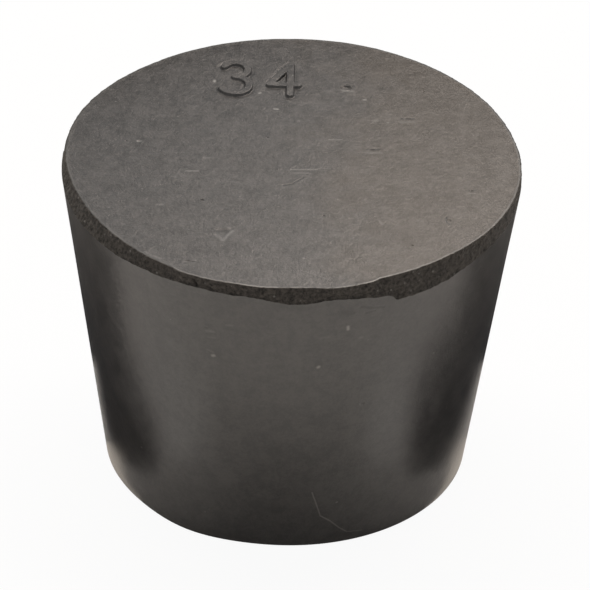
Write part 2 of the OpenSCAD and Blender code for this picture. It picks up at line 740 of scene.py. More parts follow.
@dataclass
class Moulding:
    """The whole stopper as one closed skin. Sizes are in millimetres. The wall's waves fade out below the
    first and above the second share of its height. The tear is full from its start's share of the band's
    height and fades over the fillet by the power of its close. The large end's rings run from the lip in to a
    plain circle, at the given shares."""

    taper: Taper
    rim: TrimmedRim
    face: LargeEnd
    wall_columns: int = 360
    rim_columns: int = 1440
    wall_rows: int = 26
    band_rows: int = 13
    fillet_rows: int = 5
    foot_rings: tuple[float, ...] = (1.2, 4.0, 8.0, 11.5)
    foot_edge_steps: int = 6
    foot_flare: float = 0.26
    flare_azimuth: float = -31.0
    flare_spread: float = 15.0
    flare_height: float = 3.5
    wall_top_gap: float = 0.3
    wave: float = 0.012
    wave_cell: float = 7.0
    wave_octaves: int = 2
    wave_squash: float = 0.6
    wave_ends: Point = (0.1, 0.85)
    tear_start: float = 0.12
    tear_close: float = 1.5
    lip_width: float = 0.13
    lip_burr: float = 0.012
    burr_in: float = 0.04
    circle_in: float = 0.35
    circle_shares: Point = (0.45, 1.0)

    def build(self) -> bpy.types.Mesh:
        """Makes the moulding's mesh.

        Returns:
            The mesh, in metres.
        """
        skin = Skin()
        self._small_end(skin)
        self._wall(skin)
        self._band(skin)
        self._large_end(skin)
        return skin.mesh(PIECE)

    @staticmethod
    def _azimuths(columns: int) -> np.ndarray:
        """Evenly spaced azimuths, in degrees."""
        return -180.0 + 360.0 * np.arange(columns) / columns

    def _small_end(self, skin: Skin) -> None:
        """Starts the skin with the flat small end and its rounded edge.

        Args:
            skin: the empty skin.
        """
        azimuth = self._azimuths(self.wall_columns)
        skin.begin(azimuth, self.foot_rings[0], Region.WALL)
        for radius in self.foot_rings[1:]:
            skin.ring(azimuth, radius, 0.0, Region.WALL)
        for radius, height in self.taper.foot_edge(self.foot_edge_steps):
            skin.ring(azimuth, radius + self._flare(azimuth, height), height, Region.WALL)

    def _flare(self, azimuth: np.ndarray, height: np.ndarray | float) -> np.ndarray:
        """How far the foot bulges on the side where the mould ran over, in millimetres."""
        near = np.exp(-(((azimuth - self.flare_azimuth) / self.flare_spread) ** 2))
        return self.foot_flare * near * (1.0 - smooth_step(height, 0.0, self.flare_height))

    def _wall(self, skin: Skin) -> None:
        """Adds the tapered wall up to just under the torn band.

        Args:
            skin: the skin that grows.
        """
        azimuth = self._azimuths(self.wall_columns)
        low = self.taper.foot_edge(1)[-1][1]
        top = self.rim.border_height(azimuth) - self.wall_top_gap
        first, last = self.wave_ends
        for row in range(1, self.wall_rows + 1):
            share = row / self.wall_rows
            z = low + (top - low) * share
            plain = self.taper.wall_radius(z)
            wave = self.wave * smooth_step(share, 0.0, first) * (1 - smooth_step(share, last, 1.0))
            places = rows(*around(azimuth, plain), z * self.wave_squash)
            swell = wave * grain(places, self.wave_cell, self.wave_octaves)
            skin.ring(azimuth, plain + swell + self._flare(azimuth, z), z, Region.WALL)

    def _band(self, skin: Skin) -> None:
        """Adds the torn band and the fillet over it, up to where the face starts.

        Args:
            skin: the skin that grows.
        """
        azimuth = self._azimuths(self.rim_columns)
        border = self.rim.border_height(azimuth)
        low = np.stack([self.taper.wall_radius(border), border], axis=1)
        corner = np.stack([self.rim.edge_radius(azimuth), np.full_like(azimuth, self.taper.length)], axis=1)
        down = (low - corner) / np.linalg.norm(low - corner, axis=1, keepdims=True)
        start = corner + self.rim.fillet * down
        finish = corner + np.array([-self.rim.fillet, 0.0])
        skin.ring(azimuth, *low.T, Region.WALL)
        for row in range(1, self.band_rows + 1):
            share = row / self.band_rows
            ease = float(smooth_step(share, 0.0, self.tear_start))
            self._band_ring(skin, azimuth, low + (start - low) * share, ease)
        for row in range(1, self.fillet_rows + 1):
            t = row / self.fillet_rows
            place = (1 - t) ** 2 * start + 2 * t * (1 - t) * corner + t**2 * finish
            self._band_ring(skin, azimuth, place, (1 - t) ** self.tear_close)

    def _band_ring(self, skin: Skin, azimuth: np.ndarray, place: np.ndarray, ease: float) -> None:
        """Adds one ring of the torn band.

        Args:
            skin: the skin that grows.
            azimuth: the ring's azimuths, in degrees.
            place: radius and height of each point on the clean cut.
            ease: share of the tear's depth that this ring takes.
        """
        radius, height = place.T
        depth = ease * self.rim.tear_depth(azimuth, rows(*around(azimuth, radius), height))
        skin.ring(azimuth, radius - depth, height, Region.BAND)

    def _large_end(self, skin: Skin) -> None:
        """Closes the skin with the worn lip and the large end's face.

        Args:
            skin: the skin that grows.
        """
        azimuth = self._azimuths(self.rim_columns)
        top = self.taper.length
        edge = self.rim.edge_radius(azimuth) - self.rim.fillet
        circle = edge.min() - self.circle_in
        for across, burr in ((self.burr_in, self.lip_burr), (self.lip_width, 0.0)):
            skin.ring(azimuth, edge - across, top + burr, Region.LIP)
        edge = edge - self.lip_width
        for share in self.circle_shares:
            radius = edge + (circle - edge) * share
            skin.ring(azimuth, radius, top + share * self.face.height(*around(azimuth, radius)), Region.FACE)
        spacing = 2 * math.pi * circle / self.rim_columns
        x, y = self.face.inner_points(circle, spacing).T
        skin.fill(x, y, top + self.face.height(x, y), Region.FACE)


# --- Finishes ---


@dataclass(frozen=True)
class Cloud:
    """Soft noise: how many of its largest grains fit in a millimetre, its layers, how strong the fine ones
    are, and how far it's squeezed along each axis."""

    scale: float
    detail: float = 3.0
    rough: float = 0.55
    squeeze: Place | None = None


@dataclass(frozen=True)
class Flecks:
    """Small round flecks strewn at random: how far apart they could lie, the part of those places that has
    one, the widest one's radius, how strong they are and how far they're squeezed along each axis."""

    spacing: float
    share: float
    size: float
    shade: float
    squeeze: Place | None = None


@dataclass(frozen=True)
class ScuffAndPaintedLight:
    """A line in the skin's colour between two points, light, or dark where its shade is below 0. Some are
    scuffs and scars of use; others are painted shade, painted highlights and painted glints round dents and
    the number.
    Lengths are in millimetres."""

    start: Vector
    end: Vector
    width: float
    shade: float
    depth: float = 0.0


class NodeBench:
    """Adds nodes to one node tree and wires them."""

    def __init__(self, owner: bpy.types.Material | bpy.types.World, placed: bool = True) -> None:
        """Empties the owner's tree.

        Args:
            owner: the material or the world.
            placed: whether its nodes need the point on the object, in millimetres.
        """
        owner.use_nodes = True
        self.tree = owner.node_tree
        self.tree.nodes.clear()
        if placed:
            where = self.add("ShaderNodeTexCoord").outputs["Object"]
            self.where = self.vector("SCALE", where, 1 / MM).outputs[0]

    def add(self, kind: str, **settings: object) -> bpy.types.Node:
        """Adds a node and sets its own properties.

        Args:
            kind: the node's type.
            settings: its properties by name.

        Returns:
            The node.
        """
        node = self.tree.nodes.new(kind)
        for name, value in settings.items():
            setattr(node, name, value)
        return node

    def feed(self, socket: Socket, value: object) -> None:
        """Wires a socket to another one, or sets its value.

        Args:
            socket: the socket that is fed.
            value: another socket, or a plain value.
        """
        if isinstance(value, Socket):
            self.tree.links.new(value, socket)
        else:
            socket.default_value = value

    def show(self, surface: Socket, kind: str = "ShaderNodeOutputMaterial") -> None:
        """Wires a shader to the tree's output."""
        self.feed(self.add(kind).inputs["Surface"], surface)

    def math(self, operation: str, a: object, b: object = 0.0, clamp: bool = False) -> Socket:
        """One sum on two numbers.

        Args:
            operation: the sum's name.
            a: the first number.
            b: the second number.
            clamp: whether the result is held between 0 and 1.

        Returns:
            The result.
        """
        node = self.add("ShaderNodeMath", operation=operation, use_clamp=clamp)
        self.feed(node.inputs[0], a)
        self.feed(node.inputs[1], b)
        return node.outputs[0]

    def vector(self, operation: str, a: object, b: object) -> bpy.types.Node:
        """One sum on two vectors, or on a vector and a number for SCALE.

        Args:
            operation: the sum's name.
            a: the first vector.
            b: the second vector, or the number.

        Returns:
            The node, which gives a vector or a number.
        """
        node = self.add("ShaderNodeVectorMath", operation=operation)
        self.feed(node.inputs[0], a)
        self.feed(node.inputs["Scale"] if operation == "SCALE" else node.inputs[1], b)
        return node

    def _squeezed(self, by: Place | None) -> Socket:
        """The point, scaled along each axis if that's asked for."""
        return self.vector("MULTIPLY", self.where, by).outputs[0] if by else self.where

    def along(self, way: Place) -> Socket:
        """How far the point lies along a direction."""
        return self.vector("DOT_PRODUCT", self.where, way).outputs["Value"]

    def noise(self, cloud: Cloud) -> Socket:
        """Soft noise, from 0 to 1.

        Args:
            cloud: what it's like.

        Returns:
            The noise.
        """
        where = self._squeezed(cloud.squeeze)
        node = self.add("ShaderNodeTexNoise", noise_dimensions="3D")
        values = (where, cloud.scale, cloud.detail, cloud.rough)
        for name, value in zip(("Vector", "Scale", "Detail", "Roughness"), values):
            self.feed(node.inputs[name], value)
        return node.outputs["Fac"]

    def cells(self, scale: float, squeeze: Place | None = None) -> bpy.types.Node:
        """A field of scattered points.

        Args:
            scale: how many fit in a millimetre.
            squeeze: how far the field is squeezed along each axis.

        Returns:
            The node, which gives the distance to the nearest point and that point's own colour.
        """
        where = self._squeezed(squeeze)
        node = self.add("ShaderNodeTexVoronoi", feature="F1", voronoi_dimensions="3D")
        self.feed(node.inputs["Vector"], where)
        self.feed(node.inputs["Scale"], scale)
        return node

    def flecks(self, kind: Flecks) -> Socket:
        """Strews flecks at random.

        Args:
            kind: what they're like.

        Returns:
            Their full shade in the middle of a fleck, falling to 0 at its edge.
        """
        node = self.cells(1 / kind.spacing, kind.squeeze)
        lot = self.add("ShaderNodeSeparateColor")
        self.feed(lot.inputs[0], node.outputs["Color"])
        chosen = self.remap(lot.outputs[0], (1 - kind.share, 1 - kind.share / 2))
        reach = self.math("MULTIPLY", chosen, kind.size / kind.spacing)
        inside = self.math("SUBTRACT", 1.0, self.math("DIVIDE", node.outputs["Distance"], reach), clamp=True)
        return self.math("MULTIPLY", self.math("MULTIPLY", inside, chosen), kind.shade)

    def remap(self, value: Socket, old: Point, new: Point = (0.0, 1.0), smooth: bool = False) -> Socket:
        """Takes a value from one span to another and holds it inside it.

        Args:
            value: the value.
            old: the span that it comes from.
            new: the span that it goes to.
            smooth: whether it eases at both ends.

        Returns:
            The new value.
        """
        kind = "SMOOTHSTEP" if smooth else "LINEAR"
        node = self.add("ShaderNodeMapRange", interpolation_type=kind, clamp=True)
        for socket, given in zip(node.inputs, (value, *old, *new)):
            self.feed(socket, given)
        return node.outputs["Result"]

    def blend(self, share: object, a: object, b: object) -> Socket:
        """A colour between two others.

        Args:
            share: the second colour's share.
            a: the first colour.
            b: the second colour.

        Returns:
            The colour.
        """
        node = self.add("ShaderNodeMix", data_type="RGBA")
        self.feed(node.inputs["Factor"], share)
        for name, value in (("A", a), ("B", b)):
            socket = next(s for s in node.inputs if s.name == name and s.type == "RGBA")
            self.feed(socket, value if isinstance(value, Socket) else (*value, 1.0))
        return next(s for s in node.outputs if s.type == "RGBA")

    def bump(self, height: Socket, distance: float, normal: Socket | None = None) -> Socket:
        """A normal bent by a height.

        Args:
            height: the height, from 0 to 1.
            distance: the height of 1, in millimetres.
            normal: the normal to bend, the surface's own if None.

        Returns:
            The bent normal.
        """
        node = self.add("ShaderNodeBump")
        self.feed(node.inputs["Strength"], 1.0)
        self.feed(node.inputs["Distance"], distance * MM)
        self.feed(node.inputs["Height"], height)
        if normal is not None:
            self.feed(node.inputs["Normal"], normal)
        return node.outputs["Normal"]

    def line(self, line_mark: ScuffAndPaintedLight) -> Socket:
        """A soft line.

        Args:
            line_mark: where it runs and how wide it is.

        Returns:
            1 on the line, falling to 0 at half its width away.
        """
        span = line_mark.end - line_mark.start
        from_start = self.vector("SUBTRACT", self.where, tuple(line_mark.start)).outputs[0]
        along = self.vector("DOT_PRODUCT", from_start, tuple(span / max(span.length_squared, TINY)))
        share = self.math("ADD", along.outputs["Value"], 0.0, clamp=True)
        foot = self.vector("SCALE", tuple(span), share).outputs[0]
        away = self.vector("DISTANCE", from_start, foot).outputs["Value"]
        return self.remap(away, (0.0, line_mark.width / 2), (1.0, 0.0), smooth=True)


@dataclass(frozen=True)
class Rubber:
    """Black rubber as one region of the skin shows it. The mottle is darkest where its noise is at the first
    value of its span and lightest at the second. The gloss clouds change the roughness from the first to the
    second value of their change. The grain's height is in millimetres."""

    name: str
    colour: Colour
    roughness: float
    specular: float
    mottle: float
    ior: float = 1.5
    flecks: Flecks = Flecks(1.2, 0.3, 0.12, 0.5)
    mottle_cloud: Cloud = Cloud(0.7, 6.0, 0.95)
    mottle_span: Point = (0.41, 0.59)
    gloss_cloud: Cloud = Cloud(0.35)
    gloss_span: Point = (0.3, 0.7)
    gloss_change: Point = (-0.024, 0.024)
    grain_cloud: Cloud = Cloud(1.4, 4.0, 0.75)
    grain_height: float = 0.024
    # Light scuffs and painted highlights take the first colour; dark scars and painted shade take the second.
    scuff_and_highlight_colour: Colour = (0.30, 0.285, 0.265)
    scar_and_shade_colour: Colour = (0.010, 0.009, 0.008)

    def material(self, line_marks: tuple[ScuffAndPaintedLight, ...]) -> bpy.types.Material:
        """Makes the material.

        Args:
            line_marks: the marks of use, the painted shade and the painted highlights in this region.

        Returns:
            The material.
        """
        made = bpy.data.materials.new(self.name)
        bench = NodeBench(made)
        shader = bench.add("ShaderNodeBsdfPrincipled")
        bench.feed(shader.inputs["Specular IOR Level"], self.specular)
        bench.feed(shader.inputs["IOR"], self.ior)
        shade = self._shade(bench)
        low = tuple(c * (1 - self.mottle) for c in self.colour)
        high = tuple(c * (1 + self.mottle) for c in self.colour)
        colour = self._aged(bench, bench.blend(shade, low, high))
        bench.feed(shader.inputs["Base Color"], self._marked(bench, colour, line_marks))
        bench.feed(shader.inputs["Roughness"], self._roughness(bench))
        bench.feed(shader.inputs["Normal"], self._scored(bench, self._normal(bench), line_marks))
        bench.show(shader.outputs["BSDF"])
        return made

    def _marked(self, bench: NodeBench, colour: Socket, line_marks: tuple[ScuffAndPaintedLight, ...]) -> Socket:
        """The colour with dark scars and painted shade, light scuffs and painted highlights, and flecks in
        it.

        Args:
            bench: adds the nodes.
            colour: the colour without the marks.
            line_marks: the marks of use, the painted shade and the painted highlights.

        Returns:
            The marked colour.
        """
        light = bench.flecks(self.flecks)
        dark: Socket | float = 0.0
        # Some lines are scuffs and scars of use, others are painted shade and painted highlights.
        for line_mark in line_marks:
            strength = bench.math("MULTIPLY", bench.line(line_mark), abs(line_mark.shade))
            if line_mark.shade > 0:
                light = bench.math("MAXIMUM", light, strength)
            else:
                dark = bench.math("MAXIMUM", dark, strength)
        colour = bench.blend(dark, colour, self.scar_and_shade_colour)
        return bench.blend(light, colour, self.scuff_and_highlight_colour)

    @staticmethod
    def _scored(bench: NodeBench, normal: Socket, line_marks: tuple[ScuffAndPaintedLight, ...]) -> Socket:
        """The normal with the grooves of the marks that have a depth.

        Args:
            bench: adds the nodes.
            normal: the normal without the grooves.
            line_marks: the marks of use, the painted shade and the painted highlights.

        Returns:
            The normal, the one given if there is no groove.
        """
        groove: Socket | float = 0.0
        for line_mark in line_marks:
            if line_mark.depth:
                share = bench.line(line_mark)
                groove = bench.math("MINIMUM", groove, bench.math("MULTIPLY", share, -line_mark.depth))
        return bench.bump(groove, 1.0, normal) if isinstance(groove, Socket) else normal

    def _aged(self, bench: NodeBench, colour: Socket) -> Socket:
        """The mottled colour after ageing, which leaves it as it is unless a finish says otherwise."""
        return colour

    def _mottle(self, bench: NodeBench) -> Socket:
        """The noise that the mottle is made of."""
        return bench.noise(self.mottle_cloud)

    def _shade(self, bench: NodeBench) -> Socket:
        """How light the mottled colour is, from 0 to 1."""
        return bench.remap(self._mottle(bench), self.mottle_span)

    def _gloss(self, bench: NodeBench) -> Socket:
        """The noise that varies the roughness."""
        return bench.noise(self.gloss_cloud)

    def _roughness(self, bench: NodeBench) -> Socket:
        """The roughness over the surface."""
        low, high = (self.roughness + change for change in self.gloss_change)
        return bench.remap(self._gloss(bench), self.gloss_span, (low, high))

    def _normal(self, bench: NodeBench) -> Socket:
        """The normal over the surface."""
        return bench.bump(bench.noise(self.grain_cloud), self.grain_height)


GRAIN_SQUEEZE = (1.35, 1.0, 1.0)
BRUSH_SQUEEZE = (0.7, 3.0, 1.0)


@dataclass(frozen=True)
class RubbedFace(Rubber):
    """The large end: satin, with fine scratches that run from side to side and a brown tint that grows
    towards +X.
    The tint starts at the first value of its reach along X and is full at the second, in millimetres, and its
    cloud moves that line by its drift."""

    mottle_cloud: Cloud = Cloud(0.55, 6.0, 0.90, GRAIN_SQUEEZE)
    mottle_span: Point = (0.52, 0.73)
    streaks: Cloud = Cloud(1.4, 4.0, 0.75, BRUSH_SQUEEZE)
    streak_share: float = 0.25
    gloss_cloud: Cloud = Cloud(0.3)
    gloss_span: Point = (0.75, 1.25)
    gloss_change: Point = (-0.05, 0.06)
    gloss_streaks: Cloud = Cloud(1.1, 4.0, 0.65, BRUSH_SQUEEZE)
    grain_cloud: Cloud = Cloud(1.6, 4.0, 0.8, GRAIN_SQUEEZE)
    grain_height: float = 0.055
    scratches: Cloud = Cloud(2.2, 4.0, 0.7, BRUSH_SQUEEZE)
    scratch_height: float = 0.007
    side_tint: Colour = (0.33, 0.20, 0.07)
    side_tint_share: float = 0.05
    side_tint_reach: Point = (-1.0, 9.0)
    side_tint_cloud: Cloud = Cloud(0.22)
    side_tint_drift: float = 14.0
    smudges: Flecks = Flecks(2.4, 0.6, 0.42, 0.10, BRUSH_SQUEEZE)

    def _aged(self, bench: NodeBench, colour: Socket) -> Socket:
        """Lays a brown tint over the colour, growing towards +X in a cloud, and pale smudges where the face
        was rubbed.

        Args:
            bench: adds the nodes.
            colour: the mottled colour.

        Returns:
            The aged colour.
        """
        across = bench.along((1.0, 0.0, 0.0))
        cloud = bench.math("SUBTRACT", bench.noise(self.side_tint_cloud), 0.5)
        line = bench.math("ADD", across, bench.math("MULTIPLY", cloud, self.side_tint_drift))
        share = bench.remap(line, self.side_tint_reach, (0.0, self.side_tint_share), smooth=True)
        colour = bench.blend(share, colour, self.side_tint)
        return bench.blend(bench.flecks(self.smudges), colour, self.scuff_and_highlight_colour)

    def _mottle(self, bench: NodeBench) -> Socket:
        """Coarse and fine mottle with a little of the streaks."""
        mottle = bench.noise(self.mottle_cloud)
        return bench.math("ADD", mottle, bench.math("MULTIPLY", bench.noise(self.streaks), self.streak_share))

    def _gloss(self, bench: NodeBench) -> Socket:
        """Clouds and streaks of gloss."""
        cloud = bench.noise(self.gloss_cloud)
        return bench.math("ADD", cloud, bench.noise(self.gloss_streaks))

    def _normal(self, bench: NodeBench) -> Socket:
        """Fine scratches over a soft grain."""
        scratches = bench.noise(self.scratches)
        return bench.bump(scratches, self.scratch_height, super()._normal(bench))


@dataclass(frozen=True)
class TornBand(Rubber):
    """The cut rim: matt, granular and flecked. Its pits are so many to the millimetre."""

    mottle_cloud: Cloud = Cloud(3.6, 4.0, 0.7)
    mottle_span: Point = (0.32, 0.68)
    grain_cloud: Cloud = Cloud(6.0, 4.0, 0.7)
    grain_height: float = 0.05
    pits: float = 3.2
    pit_height: float = 0.05

    def _normal(self, bench: NodeBench) -> Socket:
        """Coarse grains and the pits between them."""
        pitted = bench.bump(bench.cells(self.pits).outputs["Distance"], self.pit_height)
        return bench.bump(bench.noise(self.grain_cloud), self.grain_height, pitted)


@dataclass(frozen=True)
class LipWornAndHighlighted(Rubber):
    """The face's edge: worn pale in patches, and lighter towards the front, where a painted highlight stands
    in for the light that the edge catches. The reach is in millimetres along the direction in which that
    painted highlight is strongest."""

    mottle_cloud: Cloud = Cloud(0.5, 4.0, 0.75)
    mottle_span: Point = (0.38, 0.58)
    # The last three values draw the painted highlight: its direction, where it grows, and its share from back
    # to front.
    most: Place = (0.09, -0.996, 0.0)
    reach: Point = (12.6, 16.4)
    front_highlight: Point = (0.22, 1.0)

    def _shade(self, bench: NodeBench) -> Socket:
        """Patches worn pale, times a painted highlight that grows towards the front."""
        patches = super()._shade(bench)
        return bench.math("MULTIPLY", patches, bench.remap(bench.along(self.most), self.reach, self.front_highlight))


@dataclass
class Dress:
    """The finishes of the moulding's four regions and the lines in their colour: marks of use, and painted
    shade, painted highlights and painted glints round dents and the number. Each line is a row of both its
    ends, its width, its shade and, where it has one, its depth. The ends are x and y on the face, and azimuth
    in degrees and height on the band and the wall."""

    taper: Taper
    face: Rubber = RubbedFace("rubbed_face", (0.0375, 0.0345, 0.0325), 0.34, 0.35, 0.58)
    band: Rubber = TornBand(
        "torn_band", (0.0475, 0.0420, 0.0365), 0.80, 0.30, 0.80, flecks=Flecks(0.5, 0.45, 0.12, 0.6)
    )
    # The lip's paleness is partly worn and partly a painted highlight, strongest at the front.
    lip: Rubber = LipWornAndHighlighted("lip_worn_and_highlighted", (0.095, 0.089, 0.082), 0.42, 0.5, 0.75)
    wall: Rubber = Rubber(
        "moulded_wall",
        (0.0342, 0.0320, 0.0302),
        0.310,
        0.5,
        0.36,
        ior=1.74,
        flecks=Flecks(1.2, 0.2, 0.12, 0.5),
    )
    face_marks: tuple[Row, ...] = (
        (-0.08, -1.14, 1.86, -1.05, 0.26, 0.34), (-0.05, -1.38, 1.50, -1.33, 0.14, -0.60),
        (0.14, -1.62, 1.36, -1.57, 0.22, 0.22), (1.91, -0.94, 2.85, -0.88, 0.18, 0.20),
        (-0.61, -3.27, 0.05, -3.04, 0.30, -0.90, 0.015), (0.05, -3.04, 0.82, -2.20, 0.26, -0.90, 0.015),
        # Second row: a dark bar along the dimple's far edge, painted shade.
        (0.75, -2.25, 0.95, -2.15, 0.40, -0.80), (-5.40, -9.50, -4.75, -9.47, 0.60, -1.00, 0.012),
        # Both rows, and the first row of the next line: the dimple's bright V rim, painted highlights.
        (-5.43, -10.04, -4.93, -10.71, 0.55, 0.24), (-4.93, -10.71, -4.24, -9.50, 0.50, 0.34),
        (-4.24, -9.50, -4.52, -9.02, 0.36, 0.22), (-6.50, 0.10, -5.95, 0.18, 0.52, 0.15),
        (-0.20, -8.85, 0.55, -8.95, 0.40, -0.60), (0.41, -4.82, 0.45, -4.84, 0.34, -0.80),
        # First row: dark at the far edge of the pit at (-6.52, -5.51), painted shade.
        (-6.62, -5.40, -6.50, -5.45, 0.30, -0.80), (-4.37, -2.65, -3.60, -2.85, 0.26, -0.80),
        (-4.37, -2.98, -3.63, -3.18, 0.20, 0.14), (-7.83, -1.70, -6.94, -1.66, 0.30, 0.34),
        # First row: light along the near edge of the pit at (3.88, 10.22), a painted highlight.
        (3.70, 9.76, 4.36, 9.72, 0.50, 0.34), (-8.58, -2.54, -8.27, -1.52, 0.24, 0.10),
        (-8.27, -1.52, -7.72, -1.39, 0.22, 0.12), (-9.80, -6.29, -9.42, -6.27, 0.46, 0.20),
        # First row: dark along the far edge of the same pit, painted shade.
        (3.60, 10.50, 4.38, 10.46, 0.50, -1.00, 0.010), (-11.15, -3.73, -11.10, -3.72, 0.28, 0.18),
        (-11.45, 2.15, -11.28, 2.20, 0.40, 0.55), (2.72, 2.98, 3.68, 3.03, 0.22, 0.30),
        (5.25, 8.58, 5.35, 8.60, 0.34, 0.55), (0.32, 5.44, 0.46, 5.46, 0.26, 0.28),
        # Second row: light along the near edge of the pit at (5.9, 1.77), a painted highlight.
        (5.98, 5.70, 6.25, 5.72, 0.50, 0.22), (5.45, 1.34, 6.50, 1.40, 0.60, 0.17),
        # First row: dark over the far edge of that pit, painted shade.
        (5.50, 1.84, 6.42, 1.90, 0.34, -1.00, 0.010), (5.99, -3.87, 6.05, -3.85, 0.30, -0.70),
        (6.42, -7.62, 6.72, -8.15, 0.30, 0.17), (11.36, -7.00, 11.42, -7.65, 0.24, -1.00, 0.015),
        # Second row: dark over the pit at (8.5, 6.12), painted shade.
        (11.42, -7.65, 11.67, -7.98, 0.22, -0.80), (8.08, 6.12, 8.92, 6.17, 0.36, -1.00, 0.010),
        # First row: light along that pit's near edge, a painted highlight. Second row: dark over the pit at
        # (13.24, -3.40), painted shade.
        (8.05, 5.66, 8.95, 5.71, 0.50, 0.18), (13.00, -3.40, 13.50, -3.36, 0.26, -0.80),
        # First row: light along that pit's near edge, a painted highlight.
        (13.00, -3.76, 13.50, -3.72, 0.26, 0.18), (-7.71, -13.71, -6.77, -13.41, 0.22, 0.26),
        (0.79, -14.36, 2.98, -15.55, 0.20, 0.12), (-13.75, -9.00, -13.45, -9.40, 0.36, 0.26),
        (-12.55, -10.60, -12.25, -10.90, 0.30, 0.16), (-10.50, -12.50, -10.10, -12.90, 0.34, 0.16),
        # Second row: a painted glint by the number's left edge.
        (-9.90, -13.00, -9.40, -13.30, 0.30, 0.18), (-5.98, 10.55, -5.96, 10.75, 0.34, 0.75),
        # Both rows: painted glints by the number.
        (-2.60, 9.10, -2.50, 9.16, 0.30, 0.75), (-1.45, 7.00, -1.18, 6.98, 0.30, 0.75),
    )
    band_marks: tuple[Row, ...] = (
        (29.1, 23.80, 29.2, 23.82, 0.22, 0.8), (46.8, 23.90, 46.9, 23.92, 0.18, 0.7),
        (52.6, 25.10, 52.8, 25.12, 0.18, 0.7), (57.6, 24.85, 57.7, 24.86, 0.16, 0.7),
        (-3.0, 24.90, -2.9, 24.92, 0.16, 0.6),
    )
    wall_marks: tuple[Row, ...] = (
        (-19.7, 18.22, -19.3, 18.28, 0.44, 0.50), (-20.9, 18.70, -19.6, 18.60, 0.34, 0.10),
        (15.3, 21.42, 15.2, 21.66, 0.42, 0.62), (8.1, 17.95, 8.3, 18.00, 0.42, 0.54),
        (-21.0, 20.52, -19.2, 20.60, 0.42, 0.12), (-15.6, 21.50, -14.0, 21.58, 0.40, 0.10),
        (-20.6, 19.95, -18.9, 20.02, 0.34, 0.08), (8.4, 20.80, 10.4, 20.88, 0.40, 0.08),
        (18.7, 20.42, 19.1, 20.42, 0.40, 0.12), (16.1, 4.20, 16.4, 4.22, 0.24, 0.30),
        (-24.7, 2.38, -24.6, 2.42, 0.24, 0.35), (-47.9, 5.96, -47.7, 6.00, 0.26, 0.35),
        (52.8, 9.77, 53.0, 9.79, 0.26, 0.25), (13.2, 23.08, 16.3, 22.95, 0.44, -0.50, 0.024),
        (18.2, 23.46, 21.0, 23.22, 0.46, -0.60, 0.030), (21.0, 23.22, 24.2, 23.05, 0.40, -0.60, 0.026),
        (19.5, 22.80, 21.9, 22.85, 0.34, -0.50, 0.020), (20.9, 13.80, 21.3, 13.78, 0.40, -0.80, 0.030),
        (-21.4, 20.90, -20.8, 20.88, 0.28, -0.60, 0.016), (8.4, 5.45, 10.1, 4.07, 0.18, 0.32),
        (10.1, 4.07, 11.4, 3.01, 0.18, 0.32), (11.4, 3.01, 14.6, 2.39, 0.20, 0.38),
        (14.6, 2.39, 17.5, 1.61, 0.18, 0.34), (17.5, 1.61, 20.4, 1.01, 0.18, 0.34),
        (20.4, 1.01, 25.4, 0.84, 0.16, 0.28),
    )

    def _on_face(self, x: float, y: float) -> Vector:
        """The point of a mark's end on the face."""
        return Vector((x, y, self.taper.length))

    def _on_wall(self, azimuth: float, height: float) -> Vector:
        """The point of a mark's end on the wall."""
        x, y = around(np.array(azimuth), self.taper.wall_radius(height))
        return Vector((float(x), float(y), height))

    @staticmethod
    def _line_marks(marks: tuple[Row, ...], at: Callable[[float, float], Vector]) -> tuple[ScuffAndPaintedLight, ...]:
        """Makes the lines of the rows, marks of use and painted light alike, with at to give the points of
        their ends.
        """
        return tuple(ScuffAndPaintedLight(at(*mark[:2]), at(*mark[2:4]), *mark[4:]) for mark in marks)

    def materials(self) -> list[bpy.types.Material]:
        """Makes the materials.

        Returns:
            The materials, in the order of the regions' slots.
        """
        made = {
            Region.FACE: self.face.material(self._line_marks(self.face_marks, self._on_face)),
            Region.BAND: self.band.material(self._line_marks(self.band_marks, self._on_wall)),
            Region.WALL: self.wall.material(self._line_marks(self.wall_marks, self._on_wall)),
            Region.LIP: self.lip.material(()),
        }
        return [made[region] for region in Region]


# --- The studio ---


def put(name: str, data: bpy.types.ID) -> bpy.types.Object:
    """Shows a mesh, a lamp or a camera.

    Args:
        name: the object's name.
        data: what it shows.

    Returns:
        The object.
    """
    made = bpy.data.objects.new(name, data)
    bpy.context.scene.collection.objects.link(made)
    return made


@dataclass(frozen=True)
class SoftBox:
    """A soft lamp. Its place, what it faces and its size are in metres; glow is how bright its cloth is."""

    name: str
    at: Place
    size: Point
    glow: float
    tint: Colour
    facing: Place = (0.0, 0.0, 0.0254)
    in_gloss: bool = True
    in_diffuse: bool = True

    def hang(self) -> None:
        """Makes the lamp."""
        light = bpy.data.lights.new(self.name, "AREA")
        light.shape = "RECTANGLE"
        light.size, light.size_y = self.size
        light.energy = self.glow * math.pi * self.size[0] * self.size[1]
        light.color = self.tint
        lamp = put(self.name, light)
        lamp.location = self.at
        away = Vector(self.at) - Vector(self.facing)
        lamp.rotation_euler = away.to_track_quat("Z", "Y").to_euler()
        lamp.visible_camera = False
        lamp.visible_glossy = self.in_gloss
        lamp.visible_diffuse = self.in_diffuse


